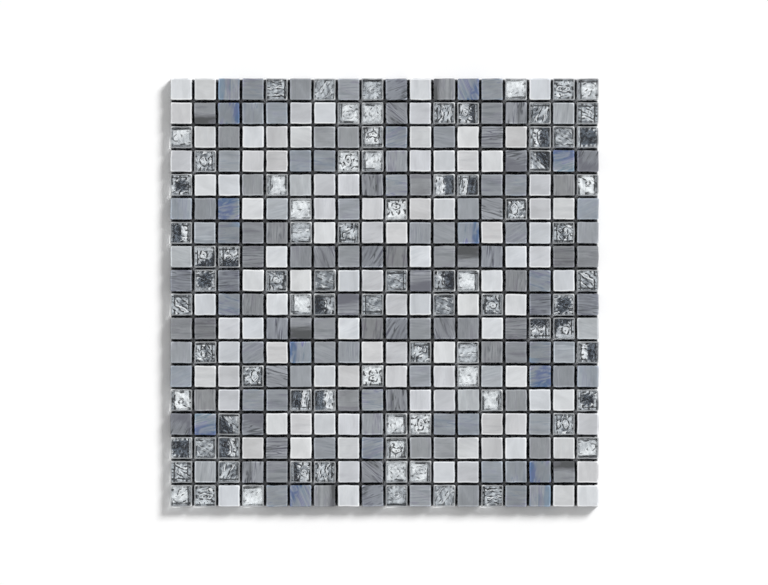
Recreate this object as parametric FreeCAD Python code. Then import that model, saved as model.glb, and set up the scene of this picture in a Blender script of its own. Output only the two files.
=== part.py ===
"""A mosaic tile sheet: square glass chips, in an open grid, bonded to a laid net of fibreglass threads.

The sheet lies face up. Z = 0 is the underside of the net, where the sheet beds on its wall or floor, and
the Z axis runs up through the middle of the sheet. X runs along the rows of chips, Y across them.
All sizes are in millimetres.
"""

import FreeCAD
import Part

import math
import os

# Chips
chip_side = 15.0
chip_height = 8.0
joint_width = 1.65

# Edges of the chips' faces: a ground bevel on the opal glass, a fire-polished round on the clear glass
arris_width = 0.5
shoulder_radius = 1.4
shoulder_facets = 3

# Crinkled metal foil behind each clear chip, with the lacquer that seals it
foil_thickness = 0.4
foil_margin = 0.5

# Net: one layer of threads laid across another, both rolled flat
thread_width = 1.2
thread_thickness = 0.25
threads_per_chip = 4
net_setback = 0.5

# The kinds of chip, by their letter in the laying plan
OPAL_CHIPS = {
    "W": "white_chips",
    "I": "ivory_chips",
    "P": "pale_grey_chips",
    "G": "grey_chips",
    "D": "dark_grey_chips",
    "B": "blue_grey_chips",
    "V": "veined_grey_chips",
    "S": "shaded_grey_chips",
    "X": "blue_swirl_chips",
}
FOILS = {
    "F": "silver_foils",
    "M": "creased_foils",
    "K": "smoked_foils",
}
CLEAR_CHIPS = "clear_glass_chips"

# The upper half of the sheet, its outer row first. The lower half is the same half, turned half a turn.
UPPER_HALF = (
    "WWBBMGMGMVWSXBFWMF",
    "ISXBBIWFFVIMKGVMPM",
    "FWGWIWGGFBWGWVIKMK",
    "IMBIIBBFFGIWIWVKXV",
    "KWWGFPIIVBDKKGBIDF",
    "BGXWPFIGIFIWGVMIWB",
    "KPBDDMWMIIGGXIGWMG",
    "PKKDWDVGVDWGSVWIDD",
    "VKVWMWMWIMVKFWDBWM",
)
LOWER_HALF = tuple(row[::-1] for row in reversed(UPPER_HALF))
LAYING_PLAN = UPPER_HALF + LOWER_HALF

# Sizes that follow
row_count = len(LAYING_PLAN)
column_count = len(LAYING_PLAN[0])
chip_pitch = chip_side + joint_width
sheet_width = column_count * chip_pitch - joint_width
sheet_length = row_count * chip_pitch - joint_width
thread_pitch = chip_pitch / threads_per_chip
chip_back = 2 * thread_thickness


def centred_block(width, length, height, base):
    """A block centred on the Z axis, with its underside at base."""
    corner = FreeCAD.Vector(-width / 2, -length / 2, base)
    return Part.makeBox(width, length, height, corner)


def face_edges(block):
    """The edges round a block's upper face."""
    top = block.BoundBox.ZMax
    return [edge for edge in block.Edges if math.isclose(edge.BoundBox.ZMin, top, abs_tol=1e-6)]


def opal_chip():
    """An opaque glass chip, with a flat ground bevel round its face."""
    block = centred_block(chip_side, chip_side, chip_height, chip_back)
    return block.makeChamfer(arris_width, face_edges(block))


def shoulder_profile(base, top):
    """The section across a clear chip, in the XZ plane: square at its back, rounded at its face."""
    half_side = chip_side / 2
    right_side = [(half_side, base)]
    for step in range(shoulder_facets + 1):
        turn = math.radians(90 * step / shoulder_facets)
        x = half_side - shoulder_radius * (1 - math.cos(turn))
        z = top - shoulder_radius * (1 - math.sin(turn))
        right_side.append((x, z))
    left_side = [(-x, z) for x, z in reversed(right_side)]
    outline = [FreeCAD.Vector(x, 0, z) for x, z in right_side + left_side]
    return Part.Face(Part.makePolygon(outline + outline[:1]))


def clear_chip():
    """A clear glass chip: the same section along both sides, so that its shoulders meet in mitres."""
    profile = shoulder_profile(chip_back + foil_thickness, chip_back + chip_height)
    profile.translate(FreeCAD.Vector(0, -chip_side / 2, 0))
    along_y = profile.extrude(FreeCAD.Vector(0, chip_side, 0))
    along_x = along_y.rotated(FreeCAD.Vector(), FreeCAD.Vector(0, 0, 1), 90)
    return along_y.common(along_x).removeSplitter()


def foil():
    """The foil behind a clear chip, between the glass and the net."""
    foil_side = chip_side - 2 * foil_margin
    return centred_block(foil_side, foil_side, foil_thickness, chip_back)


def cells(letters):
    """The centres of the cells of the laying plan that hold one of these letters."""
    for row, kinds in enumerate(LAYING_PLAN):
        for column, kind in enumerate(kinds):
            if kind in letters:
                x = (column - (column_count - 1) / 2) * chip_pitch
                y = ((row_count - 1) / 2 - row) * chip_pitch
                yield FreeCAD.Vector(x, y, 0)


def laid(piece, letters):
    """A copy of the piece in every cell that holds one of these letters."""
    return Part.makeCompound([piece.translated(centre) for centre in cells(letters)])


def thread_offsets(span):
    """Where the threads lie across a side of the sheet: evenly, from its middle to both ends."""
    reach = span / 2 - net_setback - thread_width / 2
    last = math.floor(reach / thread_pitch)
    return [index * thread_pitch for index in range(-last, last + 1)]


def weft_threads():
    """The lower layer of the net: flat threads that run along X."""
    thread = centred_block(sheet_width - 2 * net_setback, thread_width, thread_thickness, 0)
    return Part.makeCompound(
        [thread.translated(FreeCAD.Vector(0, y, 0)) for y in thread_offsets(sheet_length)]
    )


def warp_threads():
    """The upper layer of the net: flat threads that run along Y, on the weft and under the chips."""
    thread = centred_block(thread_width, sheet_length - 2 * net_setback, thread_thickness, thread_thickness)
    return Part.makeCompound(
        [thread.translated(FreeCAD.Vector(x, 0, 0)) for x in thread_offsets(sheet_width)]
    )


def nodes():
    """Every node of the sheet, by name."""
    made = {name: laid(opal_chip(), letter) for letter, name in OPAL_CHIPS.items()}
    made.update({name: laid(foil(), letter) for letter, name in FOILS.items()})
    made[CLEAR_CHIPS] = laid(clear_chip(), FOILS)
    made["net_weft_threads"] = weft_threads()
    made["net_warp_threads"] = warp_threads()
    return made


os.makedirs("parts", exist_ok=True)
for node_name, shape in nodes().items():
    shape.exportStep(f"parts/{node_name}.step")
    print(f"{node_name}: {len(shape.Solids)} solids, {shape.Volume / 1000:.2f} cm3")
print(f"sheet {sheet_width:.2f} x {sheet_length:.2f} x {chip_back + chip_height:.2f} mm")
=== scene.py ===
"""The looks of a glass mosaic tile sheet: streaked opal glass chips, clear chips over crinkled silver foil,
and the fibreglass net that carries them.

Every chip, foil and thread is made again, finer, in the place of its own CAD solid. Shapes are drawn in
millimetres and stored in metres. The photograph's lower nine rows are its upper nine, turned by half a
turn, down to each chip's streaks, so a chip and its twin share their draws here too.
"""

import math
import random

import bmesh
import bpy
import numpy as np
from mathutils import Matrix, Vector


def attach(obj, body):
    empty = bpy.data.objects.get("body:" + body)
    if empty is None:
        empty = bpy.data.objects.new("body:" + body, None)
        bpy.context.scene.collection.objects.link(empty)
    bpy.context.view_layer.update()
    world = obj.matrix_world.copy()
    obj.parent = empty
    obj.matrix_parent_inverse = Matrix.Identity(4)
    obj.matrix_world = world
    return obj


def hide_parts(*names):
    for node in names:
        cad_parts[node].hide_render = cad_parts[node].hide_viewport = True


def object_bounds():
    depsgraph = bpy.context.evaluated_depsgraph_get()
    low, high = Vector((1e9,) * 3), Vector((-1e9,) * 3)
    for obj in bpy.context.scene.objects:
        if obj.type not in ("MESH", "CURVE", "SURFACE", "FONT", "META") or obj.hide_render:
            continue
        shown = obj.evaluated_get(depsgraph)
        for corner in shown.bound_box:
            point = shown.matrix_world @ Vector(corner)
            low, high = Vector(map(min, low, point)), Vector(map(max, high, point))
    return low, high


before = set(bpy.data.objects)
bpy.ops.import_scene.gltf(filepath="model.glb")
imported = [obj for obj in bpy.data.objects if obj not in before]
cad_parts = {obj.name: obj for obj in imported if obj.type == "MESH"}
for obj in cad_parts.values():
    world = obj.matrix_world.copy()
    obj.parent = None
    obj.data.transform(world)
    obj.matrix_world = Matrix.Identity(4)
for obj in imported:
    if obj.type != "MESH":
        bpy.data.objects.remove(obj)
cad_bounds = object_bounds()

MM = 0.001
CHIPS_A_SIDE = 18
SIDES = ((0, 1), (0, -1), (1, 1), (1, -1))

# How much lighter an opal chip is painted in a band along each side of its face, by axis and direction:
# painted light, set for each side of the sheet. They are directions of the sheet, whichever way the chip
# is turned.
PAINTED_LIGHT_BANDS = {(0, 1): 0.13, (0, -1): 0.15, (1, 1): 0.02, (1, -1): 0.08}

# Chips, in millimetres
CORNER_RADIUS = 0.9
ARRIS = 0.45
BACK_BEVEL = 0.25
BACK_INSET = 4.0
SHOULDER = 1.4
GROUND_RIM = 0.8
CAST_SHRINK = 0.09
SIDE_STEPS = 6
CORNER_STEPS = 4
LAYING_SHIFT = 0.17
OUTER_LAYING_SHIFT = 0.4 * LAYING_SHIFT
LAYING_TURN = math.radians(0.7)
LAYING_TILT = 0.005
OUTLINE_WAVE = 0.12
FACE_WAVE = 0.03
# How far the painted glints at a chip's corners reach, in millimetres
GLINT_REACH = (0.8, 1.9)

# How far apart the places may be, in millimetres, that chips, foils and threads were cut from
STOCK_REACH = 400.0

# Foils, in millimetres
FOIL_STEPS = 36
FOIL_DEPTH = 0.36
FOIL_CLEARANCE = 0.01
CRUMPLE_LENGTH = 5.5
CREASE_WIDTH = 0.6
FOLD_WIDTH = 0.42
LEAST_FOLD_INSET = 0.85

# How much fainter the creases and the bright and dull patches of the smooth foils are
SMOOTH_CREASES = 0.55
SMOOTH_PATCHES = 0.65

# Threads, in millimetres
THREAD_STEP = 3.0
THREAD_SIDES = 10
THREAD_WANDER = 0.1
THREAD_SPREAD = 0.14

# Floor, in metres
FLOOR_REACH = 30.0
FLOOR_LEVEL = -0.00005

# Camera and light
PHOTO_WIDTH_PX = 768
MM_PER_PX = 0.696
SENSOR_MM = 36.0
CAMERA_HEIGHT = 6.0
SHEET_OFFSET_PX = (0.48, -0.07)
SUN_STRENGTH = 3.23
SUN_ELEVATION = math.radians(35)
SUN_AZIMUTH = math.radians(45)
SUN_ANGLE = math.radians(19)
BOX_TILT = math.radians(11)
AMBIENT = 0.41

# Opal glass: CAD node, record slot, body colour, two streak colours, the colour of a shaded side, how
# strong the streaks are, and how mottled a shaded side is
OPALS = (
    ("white_chips", "white_glass", (0.585, 0.602, 0.622),
     (0.45, 0.48, 0.51), (0.47, 0.48, 0.52), (0.44, 0.46, 0.49), 0.6, 0.0),
    ("ivory_chips", "ivory_glass", (0.555, 0.563, 0.582),
     (0.41, 0.42, 0.45), (0.43, 0.42, 0.44), (0.42, 0.43, 0.45), 0.65, 0.0),
    ("pale_grey_chips", "pale_grey_glass", (0.395, 0.42, 0.446),
     (0.23, 0.255, 0.28), (0.26, 0.27, 0.31), (0.25, 0.27, 0.29), 1.0, 0.0),
    ("grey_chips", "grey_glass", (0.277, 0.294, 0.315),
     (0.155, 0.17, 0.19), (0.18, 0.18, 0.22), (0.16, 0.17, 0.18), 1.0, 0.0),
    ("dark_grey_chips", "dark_grey_glass", (0.224, 0.234, 0.248),
     (0.085, 0.092, 0.105), (0.115, 0.11, 0.135), (0.11, 0.115, 0.12), 1.1, 0.0),
    ("blue_grey_chips", "blue_grey_glass", (0.264, 0.288, 0.315),
     (0.135, 0.17, 0.225), (0.175, 0.18, 0.25), (0.15, 0.22, 0.30), 1.1, 0.3),
    ("veined_grey_chips", "veined_grey_glass", (0.254, 0.27, 0.3),
     (0.045, 0.05, 0.058), (0.075, 0.077, 0.105), (0.15, 0.156, 0.18), 1.0, 0.0),
    ("shaded_grey_chips", "shaded_grey_glass", (0.265, 0.276, 0.29),
     (0.16, 0.17, 0.18), (0.17, 0.17, 0.20), (0.062, 0.066, 0.07), 0.9, 0.0),
    ("blue_swirl_chips", "blue_swirl_glass", (0.255, 0.283, 0.32),
     (0.09, 0.15, 0.205), (0.14, 0.14, 0.27), (0.07, 0.12, 0.225), 1.0, 0.75),
)

# Foils: CAD node, record slot, how much of a foil is crumpled at least and at most, and its colours where
# dull, where bright and at the sides
FOILS = (
    ("silver_foils", "silver_foil", 0.05, 0.55,
     (0.48, 0.50, 0.525), (0.93, 0.95, 0.97), (0.22, 0.232, 0.25)),
    ("creased_foils", "creased_foil", 0.7, 1.3,
     (0.135, 0.15, 0.172), (0.65, 0.68, 0.715), (0.33, 0.35, 0.375)),
    ("smoked_foils", "smoked_foil", 0.5, 1.1,
     (0.31, 0.33, 0.36), (0.88, 0.90, 0.93), (0.38, 0.40, 0.425)),
)

# The ringed crinkles of a foil of the upper half: their middles and radii, in millimetres, and how many
# times as wide as tall they are
LOOPS = {
    (0, 8): ((0.3, 0.0, 3.2, 1.5),), (0, 16): ((-0.3, 0.4, 3.6, 1.9),), (1, 7): ((-0.2, -1.0, 3.2, 1.6),),
    (1, 8): ((0.9, -0.2, 3.4, 0.7),), (1, 12): ((-2.2, 0.6, 2.6, 0.8),), (2, 0): ((-3.4, -0.5, 2.2, 1.0),),
    (2, 8): ((0.2, 1.8, 2.8, 1.8),), (2, 15): ((0.8, 0.3, 3.8, 0.45),),
    (3, 1): ((-1.5, 0.0, 2.7, 0.75), (3.7, -0.2, 2.6, 0.5)), (3, 7): ((-0.5, 0.0, 3.4, 0.65),),
    (3, 8): ((2.6, 1.1, 1.7, 0.6),), (4, 17): ((0.1, 1.4, 1.7, 1.0),), (5, 9): ((-0.3, 1.5, 2.6, 1.5),),
    (5, 14): ((-1.0, 0.2, 3.2, 0.7),), (6, 7): ((-3.1, -2.0, 2.1, 0.7), (0.5, -2.0, 2.0, 0.7)),
    (6, 16): ((-2.2, 1.9, 1.8, 0.8), (1.3, 1.5, 2.0, 0.8)), (7, 1): ((-1.6, 1.0, 3.0, 0.9),),
    (7, 2): ((-1.0, -0.8, 3.2, 1.4),), (8, 4): ((-0.3, 0.3, 2.8, 1.2),), (8, 11): ((0.6, -0.5, 3.0, 0.9),),
}

# The foils of the upper half that are smooth, but for faint crinkles
SMOOTH_FOILS = (
    (0, 6), (0, 8), (0, 14), (1, 7), (1, 8), (2, 0), (2, 16), (3, 8), (4, 4), (5, 5), (6, 5), (8, 6),
    (8, 9), (8, 12),
)

# Which way the straight crinkles of the other foils of the upper half run, in degrees from the X axis
CRINKLE_WAYS = {
    (0, 4): 4, (0, 6): 50, (0, 14): 32, (1, 11): 86, (1, 15): 75, (1, 17): -20, (2, 16): -30, (2, 17): 60,
    (3, 15): -45, (4, 4): 60, (4, 11): 88, (4, 12): 80, (5, 5): 0, (6, 5): 0, (8, 1): 0, (8, 6): -25,
    (8, 9): -20, (8, 12): 5, (8, 17): -40,
}

# Which way the plainly streaked chips of the upper half run, by row and column, in degrees from the X axis
STREAK_WAYS = {
    (0, 2): 90, (0, 9): 22, (0, 11): 90, (0, 12): -68, (0, 13): 10, (1, 1): 0, (1, 2): 78, (1, 9): -38,
    (1, 13): 0, (1, 14): 84, (1, 16): 80, (2, 9): 20, (2, 13): 4, (3, 9): 88, (3, 14): 8, (3, 16): 18,
    (3, 17): 62, (4, 8): 90, (4, 9): 0, (4, 13): 0, (5, 2): 12, (5, 13): -18, (6, 1): 4, (6, 2): 6,
    (6, 12): 84, (7, 6): -72, (7, 8): 58, (7, 9): 86, (7, 12): 2, (7, 13): 84, (8, 0): -3, (8, 2): 3,
    (8, 10): 0, (8, 14): 88, (8, 15): -16,
}

# Which side of a chip of the upper half is shaded, as a direction in degrees, and how far from its middle
SHADED_SIDES = {
    (0, 2): (180, 0.45), (0, 11): (180, 0.5), (0, 12): (-25, 0.25), (1, 1): (-90, 0.2), (1, 2): (5, 0.35),
    (3, 14): (-120, 0.0), (3, 16): (100, 0.05), (3, 17): (-110, 0.1), (5, 2): (165, -0.45),
    (6, 2): (60, 0.9), (6, 12): (-15, 0.45), (7, 12): (90, -0.05), (8, 10): (-75, 0.0),
}

# The same for every other chip: its shade would start well outside it
UNSHADED = (0, 3.0)

# Where a smoked foil of the upper half is dark: on which side, or None for its middle, and how far across
SMOKED_SIDES = {
    (1, 12): (0, -0.1), (2, 15): (0, 0.1), (2, 17): (None, 0.9), (3, 15): (40, 0.1), (4, 0): (None, 0.6),
    (4, 11): (0, 0.0), (4, 12): (0, 0.1), (6, 0): (180, 0.15), (7, 1): (-60, -0.2), (7, 2): (-90, -0.1),
    (8, 1): (None, 0.8), (8, 11): (10, 0.15),
}


class Chip:
    """One chip or foil of a CAD node, and the random draws that it shares with its twin.

    Its cell is the row and column of the one of the two that lies in the upper half.
    """

    def __init__(self, low, high, pitch):
        self.low = low / MM
        self.high = high / MM
        self.centre = (self.low + self.high) / 2
        half_span = (CHIPS_A_SIDE - 1) / 2
        row = round(half_span - self.centre[1] / pitch)
        column = round(half_span + self.centre[0] / pitch)
        self.turned = row >= CHIPS_A_SIDE / 2
        if self.turned:
            row, column = CHIPS_A_SIDE - 1 - row, CHIPS_A_SIDE - 1 - column
        self.cell = (row, column)
        self.draw = random.Random(1000 * row + column)

    def sized(self, low, high):
        """A random size, from low to high."""
        return self.draw.uniform(low, high)

    def cut(self):
        """The place in its sheet of glass or foil that the chip or foil was cut from."""
        return [self.sized(0, STOCK_REACH) for _ in range(3)]

    def laid(self, points):
        """Points about the chip's own middle, in the sheet: turned with the lower half, in millimetres."""
        flip = -1 if self.turned else 1
        return points * (flip, flip, 1) + (self.centre[0], self.centre[1], 0)


def solid_corners(node):
    """The lowest and highest corner of each separate solid of a CAD node."""
    mesh = bmesh.new()
    mesh.from_mesh(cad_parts[node].data)
    bmesh.ops.remove_doubles(mesh, verts=mesh.verts, dist=MM / 1000)
    found = []
    seen = set()
    for start in mesh.verts:
        if start in seen:
            continue
        seen.add(start)
        island = [start]
        for vert in island:
            for edge in vert.link_edges:
                other = edge.other_vert(vert)
                if other not in seen:
                    seen.add(other)
                    island.append(other)
        places = np.array([vert.co for vert in island])
        found.append((places.min(axis=0), places.max(axis=0)))
    mesh.free()
    return sorted(found, key=lambda corners: (-corners[0][1].round(4), corners[0][0].round(4)))


def chip_pitch():
    """How far apart the chips lie in the CAD nodes, in millimetres."""
    low, high = solid_corners("white_chips")[0]
    sheet_low, sheet_high = cad_bounds
    return (sheet_high.x - sheet_low.x - (high[0] - low[0])) / (CHIPS_A_SIDE - 1) / MM


def chips_of(node):
    """The chips, or foils, of a CAD node."""
    return [Chip(low, high, PITCH) for low, high in solid_corners(node)]


def waves(places, draw, wavelength, count=5):
    """A smooth random surface over places in the XY plane, from about -1 to 1: the sum of a few waves."""
    height = np.zeros(places.shape[:-1])
    for _ in range(count):
        way = draw.uniform(0, 2 * math.pi)
        length = wavelength * draw.uniform(0.7, 1.5)
        along = places[..., 0] * math.cos(way) + places[..., 1] * math.sin(way)
        height += np.sin(2 * math.pi * along / length + draw.uniform(0, 2 * math.pi))
    return height / math.sqrt(count)


def smoothstep(low, high, values):
    """0 where values are under low, 1 where they are over high, and a smooth rise between."""
    share = np.clip((values - low) / (high - low), 0, 1)
    return share * share * (3 - 2 * share)


def distance_along(points, degrees):
    """How far each point lies from the Z axis in a direction, given in degrees from the X axis."""
    way = math.radians(degrees)
    return points[:, 0] * math.cos(way) + points[:, 1] * math.sin(way)


def joined_mesh(name, node, points, faces, values, materials, wears=None):
    """One piece from all its like parts, in the place of a CAD node.

    points holds the parts' points, in millimetres, as (part, point, 3). faces are those of one part.
    values holds a number or a vector for each point, by attribute name. wears says which of the
    materials each face of a part has.
    """
    parts, count = points.shape[:2]
    every_face = [tuple(index + part * count for index in face) for part in range(parts) for face in faces]
    mesh = bpy.data.meshes.new(name)
    mesh.from_pydata((points.reshape(-1, 3) * MM).tolist(), [], every_face)
    mesh.polygons.foreach_set("use_smooth", [True] * len(mesh.polygons))
    for material in materials:
        mesh.materials.append(material)
    if wears:
        mesh.polygons.foreach_set("material_index", wears * parts)
    for key, value in values.items():
        if value.ndim == 3:
            attribute = mesh.attributes.new(key, "FLOAT_VECTOR", "POINT")
            attribute.data.foreach_set("vector", value.astype(np.float32).ravel())
        else:
            attribute = mesh.attributes.new(key, "FLOAT", "POINT")
            attribute.data.foreach_set("value", value.astype(np.float32).ravel())
    piece = bpy.data.objects.new(name, mesh)
    bpy.context.scene.collection.objects.link(piece)
    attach(piece, "root")
    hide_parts(node)


def rounded_square(half, radius):
    """Points round a square with rounded corners, anticlockwise from its right side."""
    straight = half - radius
    side = [(half, straight * (2 * step / SIDE_STEPS - 1)) for step in range(SIDE_STEPS)]
    bends = [step / CORNER_STEPS * math.pi / 2 for step in range(CORNER_STEPS)]
    corner = [(straight + radius * math.cos(bend), straight + radius * math.sin(bend)) for bend in bends]
    points = []
    for quarter in range(4):
        turn = quarter * math.pi / 2
        cosine, sine = math.cos(turn), math.sin(turn)
        points += [(x * cosine - y * sine, x * sine + y * cosine) for x, y in side + corner]
    return points


def lofted_block(levels):
    """Points and faces of a closed block through rounded squares.

    Each level of it is given as (half side, corner radius, height).
    """
    points = []
    for half, radius, height in levels:
        points += [(x, y, height) for x, y in rounded_square(half, radius)]
    around = 4 * (SIDE_STEPS + CORNER_STEPS)
    faces = []
    for level in range(len(levels) - 1):
        for step in range(around):
            here, there = level * around + step, level * around + (step + 1) % around
            faces.append((here, there, there + around, here + around))
    last = (len(levels) - 1) * around
    points += [(0, 0, levels[0][2]), (0, 0, levels[-1][2])]
    back, face = len(points) - 2, len(points) - 1
    for step in range(around):
        following = (step + 1) % around
        faces.append((following, step, back))
        faces.append((last + step, last + following, face))
    return np.array(points), faces


def opal_levels(half, back, face):
    """The levels of an opal chip: a small bevel at its back, a ground arris round its face."""
    small = CORNER_RADIUS - ARRIS
    levels = [(half - BACK_INSET, 0.5, back), (half - BACK_BEVEL, CORNER_RADIUS, back)]
    levels += [(half, CORNER_RADIUS, back + BACK_BEVEL)]
    levels += [(half, CORNER_RADIUS, back + share * (face - back)) for share in (0.3, 0.6, 0.85)]
    levels += [(half, CORNER_RADIUS, face - ARRIS)]
    levels += [(half - 0.12 * ARRIS, CORNER_RADIUS - 0.1 * ARRIS, face - 0.75 * ARRIS)]
    levels += [(half - 0.5 * ARRIS, CORNER_RADIUS - 0.5 * ARRIS, face - 0.28 * ARRIS)]
    levels += [(half - ARRIS, small, face - 0.02 * ARRIS)]
    levels += [(half - inset * ARRIS, small, face) for inset in (1.3, 2.1, 3.3)]
    levels += [(half * share, 0.3 * share, face) for share in (0.68, 0.44, 0.2)]
    return levels


def clear_levels(half, back, face):
    """The levels of a clear chip: square at its back, with a fire-polished shoulder round its face."""
    levels = [(half - BACK_INSET, 0.5, back), (half - BACK_BEVEL, CORNER_RADIUS, back)]
    levels += [(half, CORNER_RADIUS, back + BACK_BEVEL)]
    levels += [(half, CORNER_RADIUS, back + share * (face - back)) for share in (0.3, 0.6)]
    for step in range(8):
        turn = step / 7 * math.pi / 2
        inset = SHOULDER * (1 - math.cos(turn))
        height = face - SHOULDER * (1 - math.sin(turn))
        levels.append((half - inset, max(CORNER_RADIUS - 0.5 * inset, 0.35), height))
    levels += [(half - SHOULDER - 0.5, 0.4, face)]
    levels += [(half * share, 0.5 * share, face) for share in (0.6, 0.4, 0.2)]
    return levels


def hand_laid(chip, points, face):
    """The points of one chip, cast a little uneven and laid a little askew."""
    made = points.copy()
    reach = np.abs(points[:, :2]).max(axis=1)
    rim = smoothstep(0.6, 0.95, reach / reach.max())
    made[:, 0] += rim * OUTLINE_WAVE * waves(points[:, [1, 2]], chip.draw, 9)
    made[:, 1] += rim * OUTLINE_WAVE * waves(points[:, [0, 2]], chip.draw, 9)
    top = smoothstep(0.5, 1.0, (points[:, 2] - points[:, 2].min()) / np.ptp(points[:, 2]))
    made[:, 2] += top * FACE_WAVE * (waves(points, chip.draw, 12) - 1)
    tilt = chip.sized(-LAYING_TILT, LAYING_TILT), chip.sized(-LAYING_TILT, LAYING_TILT)
    made[:, 2] += top * (made[:, 0] * tilt[0] + made[:, 1] * tilt[1])
    made[:, 2] = np.minimum(made[:, 2], face)
    turn = chip.sized(-LAYING_TURN, LAYING_TURN)
    outer = chip.cell[0] == 0 or chip.cell[1] in (0, CHIPS_A_SIDE - 1)
    shift = OUTER_LAYING_SHIFT if outer else LAYING_SHIFT
    x, y = made[:, 0].copy(), made[:, 1].copy()
    made[:, 0] = x * math.cos(turn) - y * math.sin(turn) + chip.sized(-shift, shift)
    made[:, 1] = x * math.sin(turn) + y * math.cos(turn) + chip.sized(-shift, shift)
    return made


def streaked_places(chip, points):
    """Places in the sheet of glass that a chip was cut from, with its streaks along X."""
    way = math.radians(STREAK_WAYS.get(chip.cell, chip.draw.choice((0, 90, chip.sized(-30, 30)))))
    x = points[:, 0] * math.cos(way) + points[:, 1] * math.sin(way)
    y = points[:, 1] * math.cos(way) - points[:, 0] * math.sin(way)
    return np.stack([x, y, points[:, 2]], axis=-1) + chip.cut()


def frost_and_painted_light(chip, points, half, face):
    """How frosted an opal chip is at each point, and how much lighter than its body its colour is made
    there.

    The ground arris is frosted, and so is a little of the face in from it, more on some sides than on
    others.
    Painted light is mixed in: the arris is painted lighter on the sides that the light leaves by, and
    painted duller on those that face the light. A broad band inside it is painted a little lighter too, by
    side of the sheet, and painted glints lighten some corners.
    """
    edge = half - np.abs(points[:, :2]).max(axis=1)
    above = 1 - smoothstep(0.8 * ARRIS, 1.2 * ARRIS, face - points[:, 2])
    ring = above * (1 - smoothstep(1.35 * ARRIS, 1.95 * ARRIS, edge))
    slope = above * (1 - smoothstep(0.5 * ARRIS, 0.95 * ARRIS, edge))
    band = above * (1 - smoothstep(2.2 * ARRIS, 3.2 * ARRIS, edge)) - slope
    paler_by_frost_and_painted_light = np.ones(len(points))
    flip = -1 if chip.turned else 1
    for axis, sign in SIDES:
        wear_and_painted_glow = chip.sized(0.0, 1.08) ** 1.8
        lit = flip * sign * (math.cos(SUN_AZIMUTH), math.sin(SUN_AZIMUTH))[axis] > 0
        # Painted light: the slope and the ring on the face are painted duller on the sides that face the
        # light, and lighter on the sides that it leaves by
        on_slope = -0.3 if lit else 0.4 + 0.8 * wear_and_painted_glow
        on_face = 0.08 + 0.5 * wear_and_painted_glow if lit else 0.15 + 0.65 * wear_and_painted_glow
        on_band = PAINTED_LIGHT_BANDS[axis, flip * sign]
        # The points that have no side nearer than this one
        side = np.abs(half - sign * points[:, axis] - edge) < 0.01
        paler_by_frost_and_painted_light[side] = (1 + on_slope * slope + on_face * (ring - slope) + on_band * band)[side]
    return ring, paler_by_frost_and_painted_light + 0.8 * painted_corner_glints(chip, points, half) * ring


def away_from_light(chip, points):
    """1 on the two sides of a chip that are painted lighter, as though lit by light that has passed through
    it, and 0 elsewhere.

    They are the sides that face away from the light.
    """
    widest = np.abs(points[:, :2]).argmax(axis=1)
    outward = np.sign(points[np.arange(len(points)), widest])
    return (outward == (1 if chip.turned else -1)).astype(float)


def painted_corner_glints(chip, points, half):
    """How much the corners of a chip are painted bright, from 0 to 1: painted glints, most often the one at
    its right, towards -Y.
    """
    draw = random.Random(f"glints {chip.cell}")
    glint = np.zeros(len(points))
    for x, y, least in ((1, -1, 0.2), (1, 1, -1.2), (-1, 1, -1.0), (-1, -1, -1.0)):
        away = np.hypot(points[:, 0] - x * half, points[:, 1] - y * half)
        here = max(0.0, draw.uniform(least, 1.0)) * (1 - smoothstep(*GLINT_REACH, away))
        glint = np.maximum(glint, here)
    return glint


def opal_piece(node, material):
    """All the opal chips of one kind of glass."""
    chips = chips_of(node)
    first = chips[0]
    half = (first.high[0] - first.low[0]) / 2 - CAST_SHRINK
    points, faces = lofted_block(opal_levels(half, first.low[2], first.high[2]))
    ones = np.ones(len(points))
    placed = []
    values = {key: [] for key in ("glass_place", "ground", "paler_by_frost_and_painted_light", "tone", "tint", "streak", "shade")}
    for chip in chips:
        placed.append(chip.laid(hand_laid(chip, points, first.high[2])))
        values["glass_place"].append(streaked_places(chip, points))
        values["tone"].append(ones * chip.sized(-1, 1))
        values["tint"].append(ones * chip.sized(-1, 1))
        plain = chip.sized(0.3, 0.9)
        values["streak"].append(ones * (1.0 if chip.cell in STREAK_WAYS else plain))
        ring, paler_by_frost_and_painted_light = frost_and_painted_light(chip, points, half, first.high[2])
        values["ground"].append(ring)
        values["paler_by_frost_and_painted_light"].append(paler_by_frost_and_painted_light)
        side, start = SHADED_SIDES.get(chip.cell, UNSHADED)
        values["shade"].append(distance_along(points, side) / half - start)
    values = {key: np.array(field) for key, field in values.items()}
    joined_mesh(f"{node}_cast", node, np.array(placed), faces, values, [material])


def clear_piece(node, polished, ground):
    """All the clear chips: polished faces and shoulders, ground sides."""
    chips = chips_of(node)
    first = chips[0]
    half = (first.high[0] - first.low[0]) / 2
    points, faces = lofted_block(clear_levels(half, first.low[2], first.high[2]))
    placed = [chip.laid(hand_laid(chip, points, first.high[2])) for chip in chips]
    places = [points + chip.cut() for chip in chips]
    inset = half - np.abs(points[:, :2]).max(axis=1)
    wears = [int(inset[list(face)].mean() < GROUND_RIM) for face in faces]
    rim = smoothstep(0.05, 0.6 * GROUND_RIM, inset)
    values = {
        "glass_place": np.array(places),
        "rim": np.array([rim] * len(chips)),
        "glint": np.array([painted_corner_glints(chip, points, half) for chip in chips]),
        "painted_glow": np.array([away_from_light(chip, points) for chip in chips]),
    }
    joined_mesh(f"{node}_cast", node, np.array(placed), faces, values, [polished, ground], wears)


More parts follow.
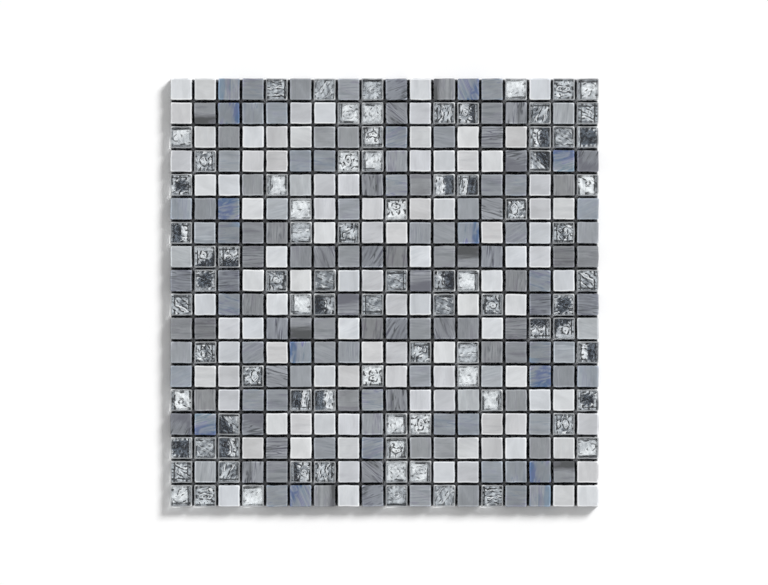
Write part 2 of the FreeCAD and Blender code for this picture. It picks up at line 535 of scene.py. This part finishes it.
def foil_grid(half):
    """Points across a foil and its faces, with a flat back, and which points the back's repeat."""
    steps = np.linspace(-half, half, FOIL_STEPS + 1)
    x, y = np.meshgrid(steps, steps)
    across = FOIL_STEPS + 1
    front = np.stack([x.ravel(), y.ravel(), np.zeros(across**2)], axis=-1)
    faces = []
    for row in range(FOIL_STEPS):
        for column in range(FOIL_STEPS):
            corner = row * across + column
            faces.append((corner, corner + 1, corner + 1 + across, corner + across))
    rim = list(range(FOIL_STEPS))
    rim += [FOIL_STEPS + row * across for row in range(FOIL_STEPS)]
    rim += [FOIL_STEPS * across + column for column in range(FOIL_STEPS, 0, -1)]
    rim += [row * across for row in range(FOIL_STEPS, 0, -1)]
    back = [across**2 + index for index in range(len(rim))]
    points = np.concatenate([front, front[rim]])
    for index, here in enumerate(rim):
        following = (index + 1) % len(rim)
        faces.append((rim[following], here, back[index], back[following]))
    faces.append(tuple(reversed(back)))
    return points, faces, across**2, rim


def crumples(chip, points, crumpled):
    """The creases crumpled into a foil, the crests beside them, and its waves.

    The creases are the lines where a wavy field passes through zero: in rings, straight, or winding. They
    and the crests are from 0 to 1, and the waves from about -1 to 1. The crests are only in the foil's
    colour:
    bands beside the creases painted bright, painted highlights; the creases are also painted dark, painted
    shade.
    """
    # The field, over places that are bent a little: winding waves, then straight ones, then rings
    bent = points.copy()
    bent[:, 0] += 0.4 * waves(points, chip.draw, 5, 3)
    bent[:, 1] += 0.4 * waves(points, chip.draw, 5, 3)
    field = waves(bent, chip.draw, CRUMPLE_LENGTH, 6)
    if chip.cell in CRINKLE_WAYS:
        way = math.radians(CRINKLE_WAYS[chip.cell])
        across = bent[:, 1] * math.cos(way) - bent[:, 0] * math.sin(way)
        field = 0.3 * field + np.sin(2 * math.pi * across / chip.sized(4.2, 6.2))
    ringed = np.zeros(len(points))
    for x, y, radius, wide in LOOPS.get(chip.cell, ()):
        away = np.hypot((bent[:, 0] - x) / math.sqrt(wide), (bent[:, 1] - y) * math.sqrt(wide))
        inside = 1 - smoothstep(radius + 0.4, radius + 1.4, away)
        rings = np.sin(2 * math.pi * (radius - away) / chip.sized(4.2, 5.4))
        field = field * (1 - inside) + (rings + 0.2 * field) * inside
        ringed = np.maximum(ringed, inside)

    # How far each point is from the nearest crease, how crumpled it is there, and how hard it is pressed
    slopes = np.gradient(field.reshape(FOIL_STEPS + 1, -1), np.ptp(points[:, 0]) / FOIL_STEPS)
    away = field / np.maximum(np.hypot(*slopes).ravel(), 0.35)
    present = smoothstep(0.35 - crumpled, 0.85 - crumpled, waves(points, chip.draw, 5, 3))
    present = np.maximum(present, ringed * smoothstep(-1.2, -0.1, waves(points, chip.draw, 5, 3)))
    present *= SMOOTH_CREASES if chip.cell in SMOOTH_FOILS else chip.sized(0.8, 1.15)
    stroke = smoothstep(-0.9, 0.8, waves(points, chip.draw, 3.4, 4))

    width = CREASE_WIDTH * (0.7 + 0.5 * stroke)
    crease = present * (0.5 + 0.6 * stroke) * np.exp(-((away / width) ** 2))
    crest = present * smoothstep(0.4, 0.9, away) * (1 - smoothstep(1.2, 2.3, away))
    return crease, crest, present * field


def side_folds(chip, points, half):
    """The straight folds along some sides of a foil, its margin outside them, and the margin's ripples:
    these are only in its colour, bands of painted reflection, lighter and darker.

    All three are from 0 to 1.
    """
    fold = np.zeros(len(points))
    margin = np.zeros(len(points))
    painted_ripple = np.zeros(len(points))
    for axis, sign in SIDES:
        strength = max(0.0, chip.sized(-1.0, 1.1) + 0.25 * (1 - 2 * axis))
        inset = LEAST_FOLD_INSET + 1.5 * strength
        beyond = sign * points[:, axis] - (half - inset) + 0.12 * waves(points, chip.draw, 6, 3)
        line = np.exp(-((beyond / FOLD_WIDTH) ** 2)) * smoothstep(-1.2, 0.1, waves(points, chip.draw, 9, 3))
        fold = np.maximum(fold, min(1.0, 0.6 + strength) * line)
        here = chip.sized(0.75, 1.0) * smoothstep(-0.1, 0.4, beyond)
        turn = 2 * math.pi * beyond / chip.sized(1.3, 2.0) + chip.sized(0, 2 * math.pi)
        painted_ripple_bands = 0.5 + 0.5 * np.sin(turn + 0.6 * waves(points, chip.draw, 5, 3))
        painted_ripple = np.where(here > margin, painted_ripple_bands, painted_ripple)
        margin = np.maximum(margin, here)
    return fold, margin, painted_ripple


def smoked_share(chip, points, half, crest):
    """How far each point of a foil lies under dark smoke."""
    cloud = 0.1 * waves(points, chip.draw, 7) + 0.1 * waves(points, chip.draw, 2.4) - 0.15 * crest
    if chip.cell not in SMOKED_SIDES:
        return 0 * cloud
    side, far = SMOKED_SIDES[chip.cell]
    if side is None:
        across = -((np.abs(points[:, :2]) ** 4).sum(axis=1) ** 0.25) / half
    else:
        across = distance_along(points, side) / half
    return smoothstep(-0.1, 0.16, cloud + far + across)


def foil_piece(node, least, most, material):
    """All the foils of one kind, crinkled, and dark where they are smoked."""
    chips = chips_of(node)
    first = chips[0]
    half = (first.high[0] - first.low[0]) / 2
    points, faces, front_count, rim = foil_grid(half)
    front = points[:front_count]
    placed = []
    values = {key: [] for key in ("glass_place", "crest", "crease", "margin", "painted_ripple", "dark", "tone")}
    for chip in chips:
        crease, crest, field = crumples(chip, front, chip.sized(least, most))
        fold, margin, painted_ripple = side_folds(chip, front, half)
        patches = 0.7 * waves(front, chip.draw, 8, 3) + 0.5 * waves(front, chip.draw, 3, 4)
        patches *= SMOOTH_PATCHES if chip.cell in SMOOTH_FOILS else 1.0
        # Painted glints at some corners: the crests there are painted bright, and the creases, folds and
        # margin give way
        glint = painted_corner_glints(chip, front, half)
        crest = np.maximum(crest, glint)
        crease, fold, margin = ((1 - glint) * part for part in (crease, fold, margin))
        height = 0.08 * field - 0.05 * crease - 0.09 * fold + 0.05 * patches
        height = FOIL_DEPTH * np.tanh((height - height.max()) / FOIL_DEPTH)
        made = points.copy()
        made[:front_count, 2] = first.high[2] - FOIL_CLEARANCE + height
        made[front_count:, 2] = first.low[2] + FOIL_CLEARANCE
        placed.append(chip.laid(made))
        fields = {
            "crest": crest,
            "crease": np.maximum(crease, fold),
            "margin": margin,
            "painted_ripple": painted_ripple,
            "dark": smoked_share(chip, front, half, crest) * (1 - 0.6 * margin),
            "tone": chip.sized(-0.5, 0.5) + patches,
        }
        for key, field in fields.items():
            values[key].append(np.concatenate([field, field[rim]]))
        values["glass_place"].append(points + chip.cut())
    values = {key: np.array(field) for key, field in values.items()}
    joined_mesh(f"{node}_crinkled", node, np.array(placed), faces, values, [material])


def thread_piece(node, material, axis):
    """All the threads of one layer of the net: flat bundles of fibres that wander a little."""
    corners = [(low / MM, high / MM) for low, high in solid_corners(node)]
    low, high = corners[0]
    length = high[axis] - low[axis]
    width = (high[1 - axis] - low[1 - axis]) / 2
    rise = (high[2] - low[2]) / 2
    stations = np.linspace(low[axis], high[axis], round(length / THREAD_STEP) + 1)
    turns = np.arange(THREAD_SIDES) * 2 * math.pi / THREAD_SIDES
    section = np.stack([np.cos(turns), np.sin(turns)], axis=-1)
    section = np.sign(section) * np.abs(section) ** 0.7
    faces = []
    for ring in range(len(stations) - 1):
        for step in range(THREAD_SIDES):
            here = ring * THREAD_SIDES + step
            there = ring * THREAD_SIDES + (step + 1) % THREAD_SIDES
            faces.append((here, here + THREAD_SIDES, there + THREAD_SIDES, there))
    faces.append(tuple(range(THREAD_SIDES)))
    faces.append(tuple(reversed(range((len(stations) - 1) * THREAD_SIDES, len(stations) * THREAD_SIDES))))
    if axis == 1:
        faces = [face[::-1] for face in faces]
    placed = []
    places = []
    joint_threads = []
    for index, (low, high) in enumerate(corners):
        draw = random.Random(f"{node} {index}")
        along = np.stack([stations, stations * 0], axis=-1)
        wander = THREAD_WANDER * waves(along, draw, 60)
        spread = 1 - 0.12 * (1 + waves(along, draw, 25)) / 2
        middle = (low + high) / 2
        flattened = (width + THREAD_SPREAD) * spread[:, None] * section[None, :, 0]
        across = middle[1 - axis] + wander[:, None] + flattened
        upward = middle[2] + rise * 0.98 * section[None, :, 1] + across * 0
        ahead = stations[:, None] + across * 0
        order = [ahead, across, upward] if axis == 0 else [across, ahead, upward]
        placed.append(np.stack(order, axis=-1).reshape(-1, 3))
        around = section[None, :, 0] * width + across * 0
        cut = ahead * 0 + draw.uniform(0, STOCK_REACH)
        places.append(np.stack([ahead, around, cut], axis=-1).reshape(-1, 3))
        chips_off = middle[1 - axis] / PITCH
        in_joint = abs(chips_off - round(chips_off)) < 0.1
        joint_threads.append(np.full(across.size, float(in_joint)))
    values = {"thread_place": np.array(places), "joint_thread": np.array(joint_threads)}
    joined_mesh(f"{node}_yarn", node, np.array(placed), faces, values, [material])


class Graph:
    """A node tree, built by short calls."""

    def __init__(self, owner):
        owner.use_nodes = True
        self.tree = owner.node_tree
        self.tree.nodes.clear()

    def add(self, kind, inputs=(), **settings):
        node = self.tree.nodes.new(kind)
        for name, value in settings.items():
            setattr(node, name, value)
        for socket, value in dict(inputs).items():
            if isinstance(value, bpy.types.NodeSocket):
                self.tree.links.new(value, node.inputs[socket])
            else:
                node.inputs[socket].default_value = value
        return node

    def attribute(self, name, output="Fac"):
        return self.add("ShaderNodeAttribute", attribute_name=name).outputs[output]

    def math(self, operation, *values):
        return self.add("ShaderNodeMath", dict(enumerate(values)), operation=operation).outputs[0]

    def scaled(self, vector, scale):
        return self.add("ShaderNodeVectorMath", {0: vector, 1: scale}, operation="MULTIPLY").outputs[0]

    def noise(self, vector, scale, detail=2.0, roughness=0.5, distortion=0.0):
        inputs = {"Vector": vector, "Scale": scale, "Detail": detail}
        inputs |= {"Roughness": roughness, "Distortion": distortion}
        return self.add("ShaderNodeTexNoise", inputs).outputs["Fac"]

    def between(self, value, low, high, start=0.0, end=1.0):
        """start where the value is under low, end where it is over high, and a smooth step between."""
        inputs = {"Value": value, "From Min": low, "From Max": high, "To Min": start, "To Max": end}
        return self.add("ShaderNodeMapRange", inputs, interpolation_type="SMOOTHSTEP").outputs[0]

    def mix(self, share, first, second, blend="MIX"):
        """A share of the second colour over the first. The node takes them in its sockets 0, 6 and 7."""
        node = self.add("ShaderNodeMix", data_type="RGBA", blend_type=blend)
        for socket, value in zip((0, 6, 7), (share, first, second)):
            if isinstance(value, bpy.types.NodeSocket):
                self.tree.links.new(value, node.inputs[socket])
            elif isinstance(value, tuple):
                node.inputs[socket].default_value = (*value, 1)
            else:
                node.inputs[socket].default_value = value
        return node.outputs[2]

    def grey(self, value):
        return self.add("ShaderNodeCombineColor", {0: value, 1: value, 2: value}).outputs[0]

    def bump(self, height, strength, distance):
        inputs = {"Height": height, "Strength": strength, "Distance": distance}
        return self.add("ShaderNodeBump", inputs).outputs[0]

    def surface(self, shader, output="ShaderNodeOutputMaterial"):
        self.add(output, {"Surface": shader})


def opal_material(name, body, vein, other_vein, shaded, strength, mottled):
    """Opal glass: a cloudy body with streaks drawn out along it, and a frosted arris with painted light on
    it.
    """
    material = bpy.data.materials.new(name)
    graph = Graph(material)
    place = graph.attribute("glass_place", "Vector")

    # Streaks: wide soft ones, thin lines where a noise passes its middle value, and faint threads
    drawn = graph.noise(graph.scaled(place, (0.035, 0.34, 0.1)), 1.0, 4.0, 0.6, 0.8)
    cloud = graph.noise(graph.scaled(place, (0.06, 0.12, 0.1)), 1.0, 3.0, 0.55, 0.4)
    lines = graph.noise(graph.scaled(place, (0.03, 0.42, 0.1)), 1.0, 1.5, 0.5, 1.2)
    threads = graph.noise(graph.scaled(place, (0.08, 1.1, 0.2)), 1.0, 2.0, 0.5, 0.5)
    ridge = graph.math("ABSOLUTE", graph.math("SUBTRACT", lines, 0.5))
    thin = graph.between(ridge, 0.0, 0.08 * min(1.0, strength) ** 2, 1.0, 0.0)
    wide = graph.between(drawn, 0.44, 0.74)
    marks = graph.math("MAXIMUM", wide, graph.math("MULTIPLY", thin, graph.between(cloud, 0.42, 0.58)))
    marks = graph.math("MAXIMUM", marks, graph.between(threads, 0.58, 0.78, 0.0, 0.4))
    marks = graph.math("MULTIPLY", marks, graph.math("MULTIPLY", graph.attribute("streak"), strength))
    hue = graph.between(graph.noise(graph.scaled(place, (0.08, 0.2, 0.2)), 1.0, 2.0), 0.42, 0.58)
    colour = graph.mix(marks, body, graph.mix(hue, vein, other_vein))

    # The cloudiness of the glass, and the chip's own tone and tint
    lift = graph.math("MULTIPLY_ADD", graph.attribute("tone"), 0.12, 1.0)
    swing = 0.14 * strength
    lift = graph.math("MULTIPLY", lift, graph.between(cloud, 0.3, 0.7, 1 - swing, 1 + swing))
    colour = graph.mix(1.0, colour, graph.grey(lift), "MULTIPLY")
    warm = graph.between(graph.attribute("tint"), -1.0, 1.0)
    colour = graph.mix(1.0, colour, graph.mix(warm, (0.985, 1.0, 1.02), (1.01, 1.0, 0.98)), "MULTIPLY")

    # The shaded side, with a ragged edge and with some of the body's colour in it
    edge = graph.math("MULTIPLY_ADD", graph.math("SUBTRACT", drawn, 0.5), 1.2, graph.attribute("shade"))
    pool = graph.mix(graph.between(hue, 0.0, 1.0, 0.0, 0.35), shaded, other_vein)
    mottle = graph.noise(graph.scaled(place, (0.1, 0.28, 0.2)), 1.0, 3.0, 0.6, 1.0)
    pool = graph.mix(graph.between(mottle, 0.42, 0.66, 0.0, mottled), pool, body)
    colour = graph.mix(graph.between(edge, -0.3, 0.35), colour, pool)

    # The frosted edges, with painted light and painted glints, never lighter than frosted glass
    colour = graph.mix(1.0, colour, graph.grey(graph.attribute("paler_by_frost_and_painted_light")), "MULTIPLY")
    colour = graph.mix(1.0, colour, (0.9, 0.91, 0.92), "DARKEN")

    # The gloss of the face, and the gentle swell that it was cast with
    rough = graph.between(graph.noise(place, 2.2, 3.0, 0.6), 0.3, 0.7, 0.26, 0.4)
    rough = graph.math("MAXIMUM", rough, graph.math("MULTIPLY", graph.attribute("ground"), 0.7))
    swell = graph.noise(graph.scaled(place, (0.12, 0.3, 0.2)), 1.0, 3.0, 0.5)
    inputs = {"Base Color": colour, "Roughness": rough, "IOR": 1.5}
    inputs |= {"Normal": graph.bump(swell, 0.35, 0.2 * MM)}
    graph.surface(graph.add("ShaderNodeBsdfPrincipled", inputs).outputs[0])
    return material


def polished_material():
    """Clear glass with a fire-polished skin. What lights the foil below it passes straight through."""
    material = bpy.data.materials.new("clear_glass_polished")
    graph = Graph(material)
    place = graph.attribute("glass_place", "Vector")
    swell = graph.noise(graph.scaled(place, (0.25, 0.25, 0.25)), 1.0, 2.0, 0.5, 0.3)
    rough = graph.between(graph.noise(place, 1.2, 2.0), 0.3, 0.7, 0.0, 0.03)
    inputs = {"Color": (0.97, 0.98, 0.985, 1), "Roughness": rough, "IOR": 1.44}
    inputs |= {"Normal": graph.bump(swell, 0.5, 0.25 * MM)}
    glass = graph.add("ShaderNodeBsdfGlass", inputs).outputs[0]
    passing = graph.add("ShaderNodeBsdfTransparent", {"Color": (0.985, 0.99, 0.99, 1)}).outputs[0]
    camera = graph.add("ShaderNodeLightPath").outputs["Is Camera Ray"]
    graph.surface(graph.add("ShaderNodeMixShader", {0: camera, 1: passing, 2: glass}).outputs[0])
    return material


def ground_material():
    """The sawn and ground sides of a clear chip: frosted glass that lets little light through, with painted
    light and painted glints.
    """
    material = bpy.data.materials.new("clear_glass_ground")
    graph = Graph(material)
    place = graph.attribute("glass_place", "Vector")
    grain = graph.noise(place, 1.6, 3.0, 0.6)
    colour = graph.mix(graph.between(grain, 0.3, 0.7), (0.40, 0.415, 0.43), (0.54, 0.555, 0.57))
    colour = graph.mix(graph.attribute("rim"), colour, (0.28, 0.29, 0.30))
    # Painted light: the sides away from the light are painted up to 1.8 times lighter, the others a little
    # darker
    painted_glow = graph.grey(graph.between(graph.attribute("painted_glow"), 0.0, 1.0, 0.9, 1.8))
    colour = graph.mix(1.0, colour, painted_glow, "MULTIPLY")
    # Painted highlights at some corners
    colour = graph.mix(graph.attribute("glint"), colour, (0.88, 0.9, 0.91))
    rough = graph.between(grain, 0.3, 0.7, 0.35, 0.55)
    inputs = {"Base Color": colour, "Roughness": rough, "IOR": 1.5, "Transmission Weight": 0.12}
    inputs |= {"Normal": graph.bump(grain, 0.3, 0.1 * MM)}
    graph.surface(graph.add("ShaderNodeBsdfPrincipled", inputs).outputs[0])
    return material


def foil_material(name, dull, bright, edging):
    """Crinkled silver foil: painted highlights on its crests, painted shade in its creases and folds,
    smoked dark in patches.
    """
    material = bpy.data.materials.new(name)
    graph = Graph(material)
    place = graph.attribute("glass_place", "Vector")
    speck = graph.noise(place, 0.7, 3.0, 0.6, 0.4)
    tone = graph.attribute("tone")

    # Dull and bright patches, painted highlights on crests, a margin in painted bands, painted shade in
    # creases
    crest = graph.between(graph.math("MULTIPLY_ADD", speck, 0.5, graph.attribute("crest")), 0.35, 1.0)
    crease = graph.between(graph.math("MULTIPLY_ADD", speck, 0.5, graph.attribute("crease")), 0.35, 0.95)
    colour = graph.mix(graph.between(tone, -1.3, 1.3), dull, bright)
    colour = graph.mix(graph.math("MULTIPLY", crest, 0.9), colour, (0.92, 0.925, 0.94))
    painted_ripple_bands = graph.grey(graph.between(graph.attribute("painted_ripple"), 0.0, 1.0, 0.45, 1.6))
    colour = graph.mix(graph.attribute("margin"), colour, graph.mix(1.0, edging, painted_ripple_bands, "MULTIPLY"))
    colour = graph.mix(graph.math("MULTIPLY", crease, 0.94), colour, (0.012, 0.015, 0.02))

    # Smoke, deeper in some places than in others, with painted shade in the creases and with painted
    # highlights on the crests and a few bright flecks in it
    depth = graph.math("MULTIPLY_ADD", graph.noise(place, 0.3, 3.0, 0.5, 0.8), 2.0, tone)
    smoke = graph.mix(graph.between(depth, 0.1, 2.1), (0.004, 0.008, 0.016), (0.11, 0.13, 0.16))
    smoke = graph.mix(graph.math("MULTIPLY", crease, 0.8), smoke, (0.003, 0.005, 0.01))
    flecks = graph.between(speck, 0.6, 0.74, 0.0, 0.15)
    flecks = graph.math("MAXIMUM", graph.math("MULTIPLY", crest, 0.35), flecks)
    smoke = graph.mix(flecks, smoke, (0.42, 0.45, 0.5))
    colour = graph.mix(graph.attribute("dark"), colour, smoke)

    rough = graph.between(graph.noise(place, 0.4, 4.0, 0.7), 0.3, 0.7, 0.17, 0.28)
    inputs = {"Base Color": colour, "Metallic": 1.0, "Roughness": rough}
    inputs |= {"Normal": graph.bump(speck, 0.5, 0.12 * MM)}
    graph.surface(graph.add("ShaderNodeBsdfPrincipled", inputs).outputs[0])
    return material


def net_material():
    """Grey glass yarn: fibres along the thread, in a dull coating, painted lighter where the joints cross:
    painted light.
    """
    material = bpy.data.materials.new("net_yarn")
    graph = Graph(material)
    place = graph.attribute("thread_place", "Vector")
    fibres = graph.noise(graph.scaled(place, (0.25, 9.0, 1.0)), 1.0, 3.0, 0.6)
    spots = graph.noise(graph.scaled(place, (0.05, 0.3, 1.0)), 1.0, 3.0, 0.6)
    colour = graph.mix(graph.between(fibres, 0.3, 0.7), (0.006, 0.007, 0.009), (0.03, 0.032, 0.037))
    colour = graph.mix(graph.between(spots, 0.5, 0.68), colour, (0.11, 0.115, 0.13))
    along = graph.add("ShaderNodeSeparateXYZ", {0: place}).outputs[0]
    # Painted light: lighter where the joints cross, on the threads that lie along a joint
    crossing = graph.between(graph.math("PINGPONG", along, PITCH / 2), 0.7, 2.4, 0.9, 0.0)
    crossing = graph.math("MULTIPLY", crossing, graph.attribute("joint_thread"))
    colour = graph.mix(crossing, colour, (0.38, 0.385, 0.4))
    rough = graph.between(spots, 0.3, 0.7, 0.55, 0.85)
    inputs = {"Base Color": colour, "Roughness": rough, "Specular IOR Level": 0.15}
    inputs |= {"Normal": graph.bump(fibres, 0.8, 0.1 * MM)}
    graph.surface(graph.add("ShaderNodeBsdfPrincipled", inputs).outputs[0])
    return material


def floor_piece():
    """The plain pale floor, white to the camera, with the sheet's shadow on it."""
    mesh = bpy.data.meshes.new("floor")
    quarters = ((-1, -1), (1, -1), (1, 1), (-1, 1))
    corners = [(x * FLOOR_REACH, y * FLOOR_REACH, FLOOR_LEVEL) for x, y in quarters]
    mesh.from_pydata(corners, [], [(0, 1, 2, 3)])
    floor = bpy.data.objects.new("floor", mesh)
    bpy.context.scene.collection.objects.link(floor)
    material = bpy.data.materials.new("floor_paint")
    graph = Graph(material)
    place = graph.add("ShaderNodeTexCoord").outputs["Object"]
    paint = graph.mix(graph.noise(place, 3.0), (0.84, 0.84, 0.84), (0.86, 0.86, 0.86))
    path = graph.add("ShaderNodeLightPath").outputs
    seen = graph.math("MAXIMUM", path["Is Camera Ray"], path["Is Glossy Ray"])
    seen = graph.math("MAXIMUM", seen, path["Is Transmission Ray"])
    colour = graph.mix(seen, paint, (1.0, 1.0, 1.0))
    graph.surface(graph.add("ShaderNodeBsdfDiffuse", {"Color": colour}).outputs[0])
    mesh.materials.append(material)


def leaning(azimuth, tilt):
    """The direction that leans from straight up by a tilt, towards an azimuth."""
    lean = math.sin(tilt)
    return Vector((lean * math.cos(azimuth), lean * math.sin(azimuth), math.cos(tilt)))


def studio():
    """A soft key light from the upper right, and a pale room. Metal and glass see a soft box overhead."""
    lamp = bpy.data.lights.new("key", "SUN")
    lamp.energy = SUN_STRENGTH
    lamp.angle = SUN_ANGLE
    sun = bpy.data.objects.new("key", lamp)
    sun.rotation_mode = "QUATERNION"
    sun.rotation_quaternion = leaning(SUN_AZIMUTH, math.pi / 2 - SUN_ELEVATION).to_track_quat("Z", "Y")
    bpy.context.scene.collection.objects.link(sun)
    world = bpy.data.worlds.new("studio")
    bpy.context.scene.world = world
    graph = Graph(world)
    way = graph.add("ShaderNodeTexCoord").outputs["Generated"]
    height = graph.add("ShaderNodeSeparateXYZ", {0: way}).outputs[2]
    middle = leaning(SUN_AZIMUTH, BOX_TILT)
    near = graph.add("ShaderNodeVectorMath", {0: way, 1: middle}, operation="DOT_PRODUCT").outputs["Value"]
    box = graph.between(near, 0.88, 0.985, 0.0, 0.8)
    walls = graph.between(height, 0.79, 0.89, 0.75, 0.3)
    horizon = graph.between(height, 0.3, 0.6, -0.25, 0.0)
    shine = graph.math("ADD", graph.math("ADD", box, walls), horizon)
    path = graph.add("ShaderNodeLightPath").outputs
    level = graph.math("MULTIPLY_ADD", path["Is Diffuse Ray"], AMBIENT - 1.0, 1.0)
    level = graph.mix(path["Is Glossy Ray"], graph.grey(level), graph.grey(shine))
    shader = graph.add("ShaderNodeBackground", {"Color": level, "Strength": 1.0}).outputs[0]
    graph.surface(shader, "ShaderNodeOutputWorld")


def photo_camera(face):
    """The camera looks straight down from far off. It frames the chips' faces as the photograph does."""
    data = bpy.data.cameras.new("camera")
    data.sensor_width = SENSOR_MM
    data.lens = SENSOR_MM * CAMERA_HEIGHT / (PHOTO_WIDTH_PX * MM_PER_PX * MM)
    data.clip_end = 100.0
    camera = bpy.data.objects.new("camera", data)
    right, up = SHEET_OFFSET_PX
    camera.location = (-right * MM_PER_PX * MM, -up * MM_PER_PX * MM, face + CAMERA_HEIGHT)
    bpy.context.scene.collection.objects.link(camera)
    bpy.context.scene.camera = camera


PITCH = chip_pitch()

for node, slot, *looks in OPALS:
    opal_piece(node, opal_material(slot + "_cast", *looks))
clear_piece("clear_glass_chips", polished_material(), ground_material())
for node, slot, least, most, *colours in FOILS:
    foil_piece(node, least, most, foil_material(slot + "_sheet", *colours))
yarn = net_material()
thread_piece("net_weft_threads", yarn, 0)
thread_piece("net_warp_threads", yarn, 1)

floor_piece()
studio()
photo_camera(cad_bounds[1].z)
bpy.context.scene.view_settings.view_transform = "Standard"
